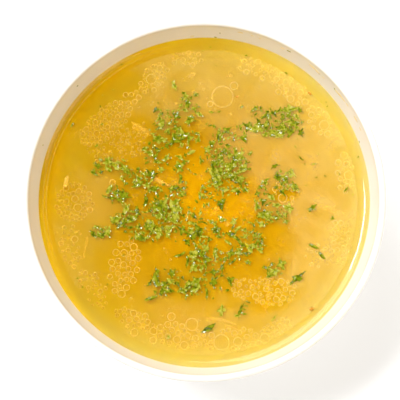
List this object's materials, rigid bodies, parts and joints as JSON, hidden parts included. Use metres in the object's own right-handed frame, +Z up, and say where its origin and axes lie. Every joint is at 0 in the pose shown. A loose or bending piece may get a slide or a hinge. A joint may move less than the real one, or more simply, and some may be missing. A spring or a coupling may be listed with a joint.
{
  "type": "bowl of vegetable broth",
  "caption": "Round white porcelain bowl on a foot ring, filled with golden broth strewn with chopped parsley.",
  "frame": {"origin": "centre of the foot ring's underside", "axes": "+Z up through the middle of the bowl; +Y is away from the viewer of the picture"},
  "size_m": [0.15, 0.15, 0.062],
  "materials": {
    "glazed_porcelain": "clear gloss glaze",
    "broth": "wet, with floating fat eyes and chopped parsley"
  },
  "bodies": {
    "root": {"bowl": "glazed_porcelain", "broth": "broth"}
  },
  "joints": []
}
